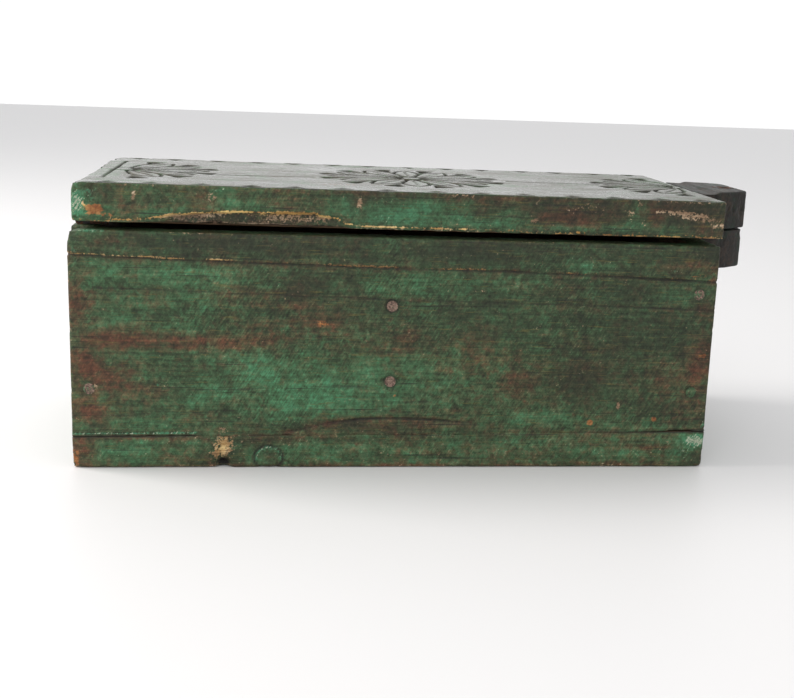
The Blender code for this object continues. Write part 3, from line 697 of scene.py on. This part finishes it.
# How dark the near seam is painted along x, for shade in the joint and dirt. Chips come and the seam shows where it
# is dark.
SEAM_DIRT_AND_SHADE = (
    [-152, -98, -92, -76, -70, -52, -44, 60, 92, 130, 149],
    [0.9, 0.8, 0.1, 0.1, 0.6, 0.5, 0.0, 0.0, 0.4, 0.8, 1.0],
)


def wall_z(x, up, drop=0.0):
    """Height of a wall's point that is up above the wall's foot, which lies drop below the seam."""
    low, high = seam_z(x) + SEAM_LIFT - drop, rim_z(x)
    return low + up / (RIM[0] - SEAM[0]) * (high - low)


def side_place(sign):
    """Puts a side board on the near (-1) or far (1) side. The near one hides its seam where the seam is not painted
    dark.
    """
    bridge = 0.7 if sign < 0 else 0.0

    def place(p):
        x = BODY[0] + p[:, 0]
        z = wall_z(x, p[:, 1], bridge * (1 - np.interp(x, *SEAM_DIRT_AND_SHADE)))
        return np.stack([x, sign * (HALF_WIDTH - SIDE_THICK + p[:, 2]), z], 1)
    return place


def end_place(x_inner, sign):
    """Puts a cross board between the side boards, from x_inner outward."""
    def place(p):
        x = x_inner + sign * p[:, 2]
        return np.stack([x, p[:, 0] - INNER_HALF, wall_z(x, p[:, 1])], 1)
    return place


SIDE_SIZE = (BODY[1] - BODY[0], RIM[0] - SEAM[0], SIDE_THICK)
END_SIZE = (2 * INNER_HALF, RIM[0] - SEAM[0], END_THICK)
SIDE_MATERIALS = [SIDE_PAINT, INSIDE_LONG]
END_MATERIALS = [END_PAINT, INSIDE_CROSS]
NEAR_CELL, FAR_CELL, END_CELL = 0.65, 1.2, 1.1
LOCK_END, HINGE_END = end_place(BODY[1] - END_THICK, 1), end_place(BODY[0] + END_THICK, -1)

board("near_side", "side_board_near", SIDE_SIZE, NEAR_CELL, side_place(-1), 11, SIDE_MATERIALS, near_detail)
FAR_DETAIL = plain_detail(PEGS_NEAR, 301)
board("far_side", "side_board_far", SIDE_SIZE, FAR_CELL, side_place(1), 211, SIDE_MATERIALS, FAR_DETAIL)
board("lock_end", "front_board", END_SIZE, END_CELL, LOCK_END, 411, END_MATERIALS, plain_detail(None, 421))
board("hinge_end", "back_board", END_SIZE, END_CELL, HINGE_END, 511, END_MATERIALS, plain_detail(None, 521))


def base_place(p):
    x = BODY[0] + p[:, 0]
    return np.stack([x, p[:, 1] - HALF_WIDTH, p[:, 2] / BASE_THICK * seam_z(x)], 1)


BASE_SIZE = (BODY[1] - BODY[0], 2 * HALF_WIDTH, BASE_THICK)
BASE_SPOTS = {
    "red": [
        (-148, 10, 5, 8, 1.5), (-120, 14.5, 30, 1.4, 0.8), (125, 10, 14, 1.2, 1.2), (18, 8, 40, 3, 0.5),
        (-60, 14, 20, 1.5, 0.6), (100, 2, 30, 1.2, 0.8), (-10, 1, 120, 0.9, 0.8), (115, 11, 14, 2, 0.6),
        (-100, 6, 14, 4, 0.5), (60, 8, 30, 5, 0.4),
    ],
    "fresh": [
        (143, 13, 6, 4, 1.8), (-126, 8, 16, 5, 1.0), (-30, 9, 20, 4, 0.8), (108, 6, 14, 4, 0.8),
        (56, 11, 24, 4, 0.8), (8, 10, 14, 4, 0.7),
    ],
    "dark": [
        (-62, 5, 5, 5, 0.8), (-92, 3, 5, 3, 1.0), (146, 4, 5, 5, 1.6), (-70, 13, 18, 3, 0.8), (-10, 14, 40, 2, 0.7),
        (-78, 8, 3, 6, 1.2),
    ],
    "pale": [
        (145, 13.5, 5, 2.8, 1.1), (-62, 10, 4, 1, 0.35), (-84, 15, 3, 2, 0.5), (138, 8, 6, 3, 0.3),
    ],
}


def base_detail(flat, points, edge, sink, marks):
    x, y, z = flat.T
    near = 1 - smooth(-HALF_WIDTH + 0.5, -HALF_WIDTH + 5.0, y)
    for mark, spots in BASE_SPOTS.items():
        marks[mark] += near * blobs(x, z, spots)
    cloud = noise(flat, (60, 60, 12), 621, 3)
    marks["red"] += (1 - near) * smooth(0.1, 0.6, cloud)
    marks["fresh"] += (1 - near) * smooth(0.1, 0.6, -cloud)
    for mark, amount in (("fresh", 0.40), ("pale", 0.14), ("red", 0.25), ("bare", 0.10)):
        marks[mark] += amount * near
    rough = noise(flat, (3, 3, 3), 91, 2)
    hole = bump(x + 83.4, 2.7, z - 2.0, 2.4)
    raw = bump(x + 84.0 - 0.25 * (z - 9), 4.2, z - 10.0, 6.5)
    sink = sink + near * (3.8 * hole + 1.4 * raw * (0.6 + rough))
    # The hole is painted near-black: shade inside it.
    marks["grime"] += near * smooth(0.25, 0.6, hole + 0.12 * rough) * 1.3
    marks["orange"] += near * 0.22 * raw
    strand = noise(flat, (1.4, 9, 4), 93, 3)
    marks["bare"] += near * 1.25 * raw * (1 - hole) * (0.85 + 0.9 * strand)
    # Dark between the torn strands: painted shade in the cracks, with dirt.
    marks["grime"] += near * 0.9 * raw * smooth(0.15, 0.5, -strand)
    ring = np.hypot((x + 62.5) / 1.2, z - 5.0)
    arc = np.clip(1 - np.abs(ring - 4.8) / 0.8, 0, 1) * smooth(2.0, 5.5, z)
    marks["pale"] += near * 0.55 * arc
    groove = np.clip(1 - np.abs(ring - 5.7) / 0.9, 0, 1)
    sink = sink + near * 0.5 * groove
    # The groove round the knot is painted dark: shade in it.
    marks["grime"] += near * 1.0 * groove
    # A dark line along the seam: painted shade in the joint, with dirt.
    marks["grime"] += near * np.interp(x, *SEAM_DIRT_AND_SHADE) * bump(seam_z(x) - z, 0.6)
    marks["orange"] += near * (0.9 * bump(x + 151, 2.2, z - 5, 5) + 0.35 * bump(z, 1) * (x < -140))
    return sink


def make_base():
    """The base board. It is painted where it shows and bare on top."""
    points, faces, kinds = slab(BASE_SIZE, 1.0, fine_top=False)
    flat = base_place(points)
    wear = noise(flat, (24, 24, 24), 611, 3)
    tight = 1 - 0.75 * smooth(10, 15, points[:, 2])
    ends = 1 + 0.9 * np.exp(-np.abs(np.abs(flat[:, 0]) - 150) / 4) * (points[:, 2] < 8)
    moved, out = rounded(points, BASE_SIZE, (1.3 * (1 + 0.6 * wear) + 0.1) * tight * ends)
    edge = edge_distance(points, BASE_SIZE)
    ripple = 0.14 * noise(flat, (40, 40, 20), 613, 3) + 0.08 * noise(flat, (8, 8, 3), 617, 2)
    nicks = np.clip(noise(flat, (5, 5, 4), 619, 3) - 0.2, 0, 1)
    sink = 0.12 + ripple + 2.8 * nicks * np.exp(-edge / 1.2) * tight
    sink = np.where(points[:, 2] <= 1e-6, 0.05, sink)
    marks = clean_marks(len(points))
    marks["red"] += 0.5 * np.exp(-edge / 2.5)
    marks["bare"] += 0.45 * np.exp(-edge / 0.9) * (0.5 + 1.0 * wear) * tight
    sink = base_detail(flat, points, edge, sink, marks)
    moved = moved - out * np.clip(sink, LEAST_SINK, MOST_SINK)[:, None]
    obj = build("base", base_place(moved), faces, marks, [SIDE_PAINT, INSIDE_LONG], (kinds == 1).astype(int))
    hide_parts("base_board")
    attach(obj, "box")


make_base()


def make_divider():
    """The cross board at mid-length."""
    size = (2 * INNER_HALF, DIVIDER_SPAN[1] - DIVIDER_SPAN[0], DIVIDER_THICK)

    def place(p):
        return np.stack([DIVIDER_LEFT + p[:, 2], p[:, 0] - INNER_HALF, DIVIDER_SPAN[0] + p[:, 1]], 1)
    points, faces, _ = slab(size, 1.3)
    flat = place(points)
    moved, out = rounded(points, size, 1.0 + 0.5 * noise(flat, (20, 20, 20), 701, 3))
    sink = 0.2 + 0.18 * noise(flat, (30, 30, 30), 703, 3)
    marks = {"grime": 0.35 * smooth(0.1, 0.6, noise(flat, (25, 25, 25), 707, 3))}
    obj = build("divider_board", place(moved - out * np.clip(sink, 0.02, 2)[:, None]), faces, marks, [INSIDE_CROSS])
    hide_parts("divider")
    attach(obj, "box")


make_divider()

# ---------------- lid


def lens_cut(u, v, inner, outer, half_width):
    """Depth, from 0 to 1, of the cut line round a leaf shape."""
    share = np.clip((u - inner) / (outer - inner), 0, 1)
    width = half_width * np.sin(pi * share ** 1.3) ** 0.85
    off = np.where((u > inner) & (u < outer), np.abs(np.abs(v) - width), 9.0)
    return np.clip(1 - off / 1.25, 0, 1)


def flower(x, y, first, count, inner=9.0, outer=42.0, half_width=6.6):
    """Cut depth of leaves 30 degrees apart, with a vein each and a deep chip between each two tips."""
    r = np.hypot(x, y)
    depth = 0.9 * np.clip(1 - np.abs(r - inner * 0.6) / 1.0, 0, 1)
    for i in range(count):
        angle = radians(first + 30 * i)
        u = x * cos(angle) + y * sin(angle)
        v = -x * sin(angle) + y * cos(angle)
        cut = lens_cut(u, v, inner * 0.5, outer, half_width)
        vein = 0.7 * np.clip(1 - np.abs(v) / 0.8, 0, 1) * (u > inner * 1.3) * (u < outer * 0.85)
        depth = np.maximum(depth, np.maximum(1.5 * cut, vein))
    for i in range(count + 1):
        angle = radians(first - 15 + 30 * i)
        u = x * cos(angle) + y * sin(angle)
        v = np.abs(-x * sin(angle) + y * cos(angle))
        share = np.clip((u - 31) / 14, 0, 1)
        chip = np.clip((5.2 * share - v) / 3.0, 0, 1) * (u > 31) * np.clip((47.5 - u) / 2.5, 0, 1)
        depth = np.maximum(depth, 2.6 * chip)
    return depth


FLOWER_X, LEFT_FLOWER_X, RIGHT_FLOWER_X = 7.5, -136, 150
CHIP_FIRST, CHIP_PITCH, CHIP_REACH = -136, 21.2, 8.0
CHIP_SHIFT = (0.8, -0.9, 0.4, 1.2, -0.6, 0.2, -1.1, 0.7, 0.1, -0.8, 1.0, -0.3, 0.5, -0.5)


def carving(x, y):
    """Depth of the lid's carving in mm: a flower, half flowers at the ends, stems between, chips along the edges."""
    depth = flower(x - FLOWER_X, y, 0, 12)
    depth = np.maximum(depth, flower(x - LEFT_FLOWER_X, y, -60, 5) * (x > -140))
    depth = np.maximum(depth, flower(x - RIGHT_FLOWER_X, y, 120, 5))
    base = 1.3 * np.clip(1 - np.abs(x + 140) / 1.2, 0, 1) * (np.abs(y) < 46)
    stem = 1.2 * np.clip(1 - np.abs(y - 0.5) / 1.1, 0, 1) * (x > 57) * (x < 106)
    depth = np.maximum(np.maximum(depth, base), stem)
    stem = 0.9 * np.clip(1 - np.abs(y + 16 - 0.1 * (x + 88)) / 1.1, 0, 1) * (x > -90) * (x < -42)
    depth = np.maximum(depth, stem)
    for i, shift in enumerate(CHIP_SHIFT):
        cx = CHIP_FIRST + CHIP_PITCH * i + shift
        for side in (-1, 1):
            reach = (HALF_WIDTH - 1.6) - side * y
            half = 5.8 * (1 - np.clip(reach, 0, CHIP_REACH) / CHIP_REACH)
            inside = (reach > 0) & (reach < CHIP_REACH)
            cut = np.clip((half - np.abs(x - cx)) / 2.2, 0, 1) * np.clip(reach / 1.4, 0, 1)
            depth = np.maximum(depth, (2.3 if side > 0 else 1.2) * cut * inside)
    return depth


LEDGE = [
    (-150, 0.8), (-137, 1.0), (-118, 2.0), (-112, 3.0), (-105, 4.3), (-94, 5.5), (-86, 6.1), (-60, 6.5), (-42, 6.7),
    (-40, 5.2), (-32, 4.6), (-29, 2.4), (-20, 1.5), (0, 1.3), (60, 1.0), (150, 0.9),
]
# Patches, each (mm along the lid, mm up its face or across its top, two radii, amount).
TOP_BARE = [(-32, -46, 24, 4, 0.5), (120, -30, 20, 10, 0.2), (30, -52, 16, 4, 0.3), (-100, 40, 20, 10, 0.15)]
TOP_FRESH = [(-140, 0, 10, 40, 1.0), (140, 20, 12, 30, 1.0), (0, 60, 60, 6, 0.6)]
LID_SPOTS = {
    "red": [
        (75, 9, 16, 5, 2.5), (95, 12, 8, 4, 1.0), (116, 9, 5, 6, 1.6), (132, 13, 16, 4, 2.3), (140, 5, 10, 4, 1.4),
        (44, 14, 10, 3, 1.0), (-122, 7, 10, 4, 1.1), (-92, 12, 6, 5, 1.2), (-130, 12, 12, 4, 0.8),
        (-62, 14, 18, 3, 0.8), (-22, 13, 3, 4, 1.3), (20, 15, 14, 2, 0.8), (-50, 8, 20, 4, 0.5),
        (32, 8, 10, 6, 0.6), (-104, 14, 10, 3, 0.6), (128, 14, 10, 2.5, 1.0), (60, 16.5, 40, 1.2, 1.2),
        (-20, 16.8, 30, 1.0, 1.0),
    ],
    "fresh": [
        (-147, 9, 4, 8, 2.4), (-74, 11, 12, 4, 0.9), (-30, 10, 10, 5, 0.9), (-6, 6, 18, 5, 2.7),
        (10, 12, 16, 5, 2.0), (34, 5, 14, 3, 2.2), (48, 10, 8, 5, 0.8), (70, 3.5, 20, 1.8, 2.0),
        (108, 5, 12, 3, 1.6), (106, 12, 6, 4, 0.9), (-120, 5, 20, 2, 0.8), (-84, 15, 6, 2, 1.3),
        (124, 4, 8, 2.5, 1.0),
    ],
    "dark": [
        (136, 14, 14, 4, 1.6), (-141, 15, 6, 4, 1.3), (-68, 4, 30, 2.4, 1.0), (92, 14, 10, 3, 0.7),
        (-112, 10, 8, 6, 0.4), (128, 9, 10, 3, 0.6), (60, 12, 8, 4, 0.5),
    ],
    "pale": [
        (-147.5, 8.5, 3.6, 6.5, 0.95), (-142, 14, 3, 2, 0.4), (-141, 10, 2, 3, 0.3), (-12, 5, 5, 2.2, 0.42),
        (4, 4.4, 5, 2.2, 0.4), (-86, 16, 5, 1.2, 0.5), (-20, 14, 14, 1.5, 0.2), (86, 14.5, 5, 2.5, 0.22),
        (70, 3, 22, 1.2, 0.25), (-3, 10, 26, 5, 0.08),
    ],
    "orange": [
        (-140, 6.2, 4.8, 2.2, 1.15), (-133, 3.6, 5, 1.0, 0.5), (-70, 6.3, 34, 0.9, 0.35), (95, 2.0, 50, 1.0, 0.3),
    ],
    "bare": [
        (-122.6, 12.4, 1.3, 2.4, 0.85), (-89, 12.4, 4.0, 3.6, 0.50), (-22.5, 11.4, 1.8, 2.6, 0.72),
        (59, 6.4, 2.4, 1.7, 0.85), (104, 11.0, 2.0, 2.2, 0.8), (-144.5, 8.6, 1.6, 1.6, 0.8), (82, 13, 7, 3.4, 0.40),
        (22, 17.2, 14, 0.7, 0.45), (-110, 17.4, 14, 0.6, 0.3), (108, 15.5, 1.5, 1.5, 0.5),
        (135, 16.8, 14, 0.8, 0.4), (110, 7, 2, 4, 0.25), (-22, 14.5, 1.2, 2, 0.5),
    ],
}


def lid_place(p):
    """Lid's own mm to the world, turned by the small tilt about the hinge axis."""
    x = LID[0] + p[:, 0] - PIVOT[0]
    z = LID_UNDER + p[:, 2] - PIVOT[1]
    return np.stack([
        PIVOT[0] + x * cos(TILT) + z * sin(TILT),
        -HALF_WIDTH + p[:, 1],
        PIVOT[1] - x * sin(TILT) + z * cos(TILT),
    ], 1)


def make_lid():
    size = (LID[1] - LID[0], 2 * HALF_WIDTH, LID_THICK)
    points, faces, kinds = slab(size, 0.8)
    x = points[:, 0] + LID[0]
    y = points[:, 1] - HALF_WIDTH
    h = points[:, 2]
    flat = np.stack([x, y, h], 1)
    wear = noise(flat, (22, 22, 22), 811, 3)
    left_top = np.exp(-np.abs(x + 150) / 3) * smooth(12, 18, h) * smooth(-62, -52, y) * (1 - smooth(0, 14, y))
    radius = 0.75 * (1 + 0.7 * wear) + 0.1 + 2.2 * left_top
    moved, out = rounded(points, size, radius)
    edge = edge_distance(points, size)
    top = h >= LID_THICK - 1e-6
    ripple = 0.11 * noise(flat, (50, 30, 30), 813, 3) + 0.06 * noise(flat, (9, 4, 4), 817, 2)
    nicks = np.clip(noise(flat, (5, 5, 4), 819, 3) - 0.2, 0, 1)
    sink = 0.11 + ripple + 2.2 * nicks * np.exp(-edge / 1.1)
    shaky_x = x + 0.6 * noise(flat, (9, 9, 9), 823, 2)
    shaky_y = y + 0.6 * noise(flat, (9, 9, 9), 827, 2)
    cut = carving(shaky_x, shaky_y) * top
    cut = cut * (0.85 + 0.4 * noise(flat, (14, 14, 14), 829, 2))
    marks = clean_marks(len(points))
    marks["red"] += 0.4 * np.exp(-edge / 2.5) * (1 - top)
    marks["bare"] += 0.45 * np.exp(-edge / 0.8) * (0.4 + 1.1 * wear)
    # The cuts darken: painted shade in them, with dirt. The top also grows darker towards its right end.
    marks["grime"] += (0.95 * smooth(0.25, 0.9, cut) + 0.2 * smooth(0.0, 0.2, cut) + 0.11 * smooth(40, 140, x)) * top
    marks["bare"] += top * blobs(x, y, TOP_BARE)
    marks["fresh"] += top * blobs(x, y, TOP_FRESH)
    face = 1 - smooth(-HALF_WIDTH, -HALF_WIDTH + 3.0, y)
    ledge = np.interp(x, *zip(*LEDGE)) + 0.35 * noise(flat, (6, 9, 9), 831, 3)
    split = np.interp(x, (-150, -122, -106, -42, -36, -29), (0.0, 0.0, 1.0, 1.0, 0.7, 0.0))
    under = 1 - smooth(-0.3, 0.3, h - ledge)
    sink = sink + face * under * (0.2 + split * (1.6 + 1.1 * noise(flat, (9, 5, 3), 835, 2)))
    line = bump(h - ledge - 0.2, 0.6 - 0.2 * smooth(-40, -20, x))
    strength = np.clip(0.95 + 1.4 * noise(flat, (7, 60, 60), 837, 3), 0.1, 1.6)
    marks["bare"] += face * line * strength * (x > -141)
    marks["orange"] += face * line * 0.35
    marks["grime"] += face * under * split * (0.30 + 0.5 * noise(flat, (7, 4, 2), 839, 2))
    marks["bare"] += face * under * split * (0.30 + 0.65 * noise(flat, (16, 8, 3), 853, 2))
    marks["red"] += face * under * split * 0.9
    marks["dark"] += face * (0.95 * smooth(-50, -20, x) + 0.25 * smooth(40, 70, x))
    marks["bare"] += face * (1 - smooth(0.2, 0.9, h)) * np.clip(0.3 + 0.9 * noise(flat, (10, 60, 60), 845, 3), 0, 1)
    for mark, spots in LID_SPOTS.items():
        marks[mark] += face * blobs(x, h, spots)
    gash = along_line(x, h + 0.9 * noise(flat, (4, 4, 4), 841, 2), [(118, 12.2), (130, 11.4), (138, 9.8), (148, 7.0)],
                      1.2 + 2.2 * smooth(122, 142, x), 3)
    marks["bare"] += face * np.minimum(1, 2 * gash) * (0.62 + 1.1 * noise(flat, (9, 3, 1.3), 847, 2))
    sink = sink + face * 0.5 * gash
    worn = bump(x + 150, 2.6, h - 18, 3.6) + 0.5 * bump(x + 150, 2.2, h, 3)
    sink = sink + 1.5 * worn * (0.8 + 0.8 * noise(flat, (5, 5, 3), 855, 2))
    chip = bump(x + 141, 5.5, h - 15.5, 3.0) * face
    sink = sink + 1.0 * chip * (0.6 + noise(flat, (3, 3, 3), 843, 2))
    far_end = 1 - face
    cloud = noise(flat, (60, 30, 10), 849, 3)
    marks["red"] += far_end * (1 - top) * 1.2 * smooth(0.0, 0.5, cloud)
    marks["fresh"] += far_end * (1 - top) * 1.2 * smooth(0.0, 0.5, -cloud)
    sink = sink + cut
    moved = moved - out * np.clip(sink, LEAST_SINK, MOST_SINK)[:, None]
    obj = build("lid_plank", lid_place(moved), faces, marks, [SIDE_PAINT, LID_TOP_WOOD, INSIDE_LONG], kinds)
    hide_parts("lid_board")
    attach(obj, "lid")


make_lid()

# ---------------- nose


def handled_block(name, node, body, seed):
    """A nose block with edges rounded and dented by handling, shaped from its CAD node."""
    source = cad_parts[node]
    shape = source.copy()
    shape.data = source.data.copy()
    SCENE.collection.objects.link(shape)
    remesh = shape.modifiers.new("even", "REMESH")
    remesh.mode = "VOXEL"
    remesh.voxel_size = 0.55 * MM
    soften = shape.modifiers.new("soften", "SMOOTH")
    soften.factor = 0.5
    soften.iterations = 6
    bpy.context.view_layer.update()
    solved = shape.evaluated_get(bpy.context.evaluated_depsgraph_get())
    done = solved.to_mesh()
    count = len(done.vertices)
    points, out = np.empty(3 * count), np.empty(3 * count)
    done.vertices.foreach_get("co", points)
    done.vertices.foreach_get("normal", out)
    points, out = points.reshape(-1, 3) / MM, out.reshape(-1, 3)
    faces = [tuple(face.vertices) for face in done.polygons]
    place = shape.matrix_world.copy()
    solved.to_mesh_clear()
    bpy.data.objects.remove(shape)
    sink = 0.22 + 0.16 * noise(points, (14, 14, 9), seed, 3) + 0.10 * noise(points, (3, 6, 2), seed + 3, 2)
    sink = sink + 1.3 * np.clip(noise(points, (6, 6, 6), seed + 7, 3) - 0.28, 0, 1)
    sink = np.clip(sink, 0.1, 3) * (1 - 0.6 * np.abs(out[:, 2]))
    points = points - out * sink[:, None]
    obj = build(name, points, faces, {}, [NOSE_WOOD])
    obj.matrix_world = place
    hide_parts(node)
    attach(obj, body)


handled_block("nose_of_lid", "lid_nose", "lid", 901)
handled_block("nose_keeper", "keeper_block", "box", 931)

# ---------------- the rest of the CAD nodes

for node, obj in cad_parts.items():
    if node.startswith("corner_peg"):
        low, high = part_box(node)
        near, top, right = low[1] < 0, low[2] > 0.06, low[0] > 0
        chosen = SIDE_PAINT
        if near and top == right:
            chosen = PEG_SMEARED
    elif node.startswith(("divider_peg", "keeper_dowel", "lid_nose_dowel")):
        chosen = PEG_WOOD
    elif node.startswith(("base_nail", "hinge", "shackle")):
        chosen = IRON
    else:
        continue
    for slot in obj.material_slots:
        slot.material = chosen

# ---------------- floor, lights, camera

floor = bpy.data.meshes.new("floor")
floor.from_pydata([(-4, -4, 0), (4, -4, 0), (4, 4, 0), (-4, 4, 0)], [], [(0, 1, 2, 3)])
floor = add("floor", floor)
floor.data.materials.append(Graph("floor_white").finish((0.86, 0.855, 0.865), 0.5))

# The sky looks brighter than the light it gives to matt surfaces.
SKY, SKY_FOR_SURFACES = 1.05, 0.68
world = bpy.data.worlds.new("studio")
world.use_nodes = True
sky = world.node_tree.nodes["Background"]
sky.inputs["Color"].default_value = (1.0, 1.0, 1.0, 1)
rays, dimmed = (world.node_tree.nodes.new("ShaderNode" + kind) for kind in ("LightPath", "Math"))
dimmed.operation = "MULTIPLY_ADD"
world.node_tree.links.new(rays.outputs["Is Diffuse Ray"], dimmed.inputs[0])
dimmed.inputs[1].default_value = SKY_FOR_SURFACES - SKY
dimmed.inputs[2].default_value = SKY
world.node_tree.links.new(dimmed.outputs[0], sky.inputs["Strength"])
SCENE.world = world


def area_light(name, at, aim, size, power, color):
    lamp = bpy.data.lights.new(name, "AREA")
    lamp.shape = "RECTANGLE"
    lamp.size, lamp.size_y = size
    lamp.energy = power
    lamp.color = color
    obj = add(name, lamp)
    obj.location = at
    obj.rotation_euler = (Vector(aim) - Vector(at)).to_track_quat("-Z", "Y").to_euler()


MIDDLE = (0, 0, 0.05)
area_light("window", (-1.2, 0.15, 0.95), MIDDLE, (0.7, 0.7), 17, (1.0, 0.97, 0.93))
area_light("room", (-0.5, -1.8, 1.3), MIDDLE, (1.4, 1.0), 10, (1.0, 0.99, 0.97))

FOCAL_PX = 1222
VIEW_WIDTH = 794
CENTER_SHIFT = (33, 4.4)
YAW, PITCH, ROLL = radians(-7.01), radians(12.82), radians(2.16)
SENSOR = 36.0
CAMERA_AT = Vector((-0.0559, -0.6237, 0.1874))

camera = bpy.data.cameras.new("camera")
camera.sensor_width = SENSOR
camera.lens = FOCAL_PX * SENSOR / VIEW_WIDTH
camera.shift_x = -CENTER_SHIFT[0] / VIEW_WIDTH
camera.shift_y = -CENTER_SHIFT[1] / VIEW_WIDTH
camera_object = add("camera", camera)
ahead = Vector((-sin(YAW) * cos(PITCH), cos(YAW) * cos(PITCH), -sin(PITCH)))
level = Vector((cos(YAW), sin(YAW), 0))
up = level.cross(ahead)
right = cos(ROLL) * level + sin(ROLL) * up
up = right.cross(ahead)
turn = Matrix((right, up, -ahead)).transposed().to_4x4()
camera_object.matrix_world = Matrix.Translation(CAMERA_AT) @ turn
SCENE.camera = camera_object

SCENE.view_settings.view_transform = "Standard"

bpy.context.view_layer.update()
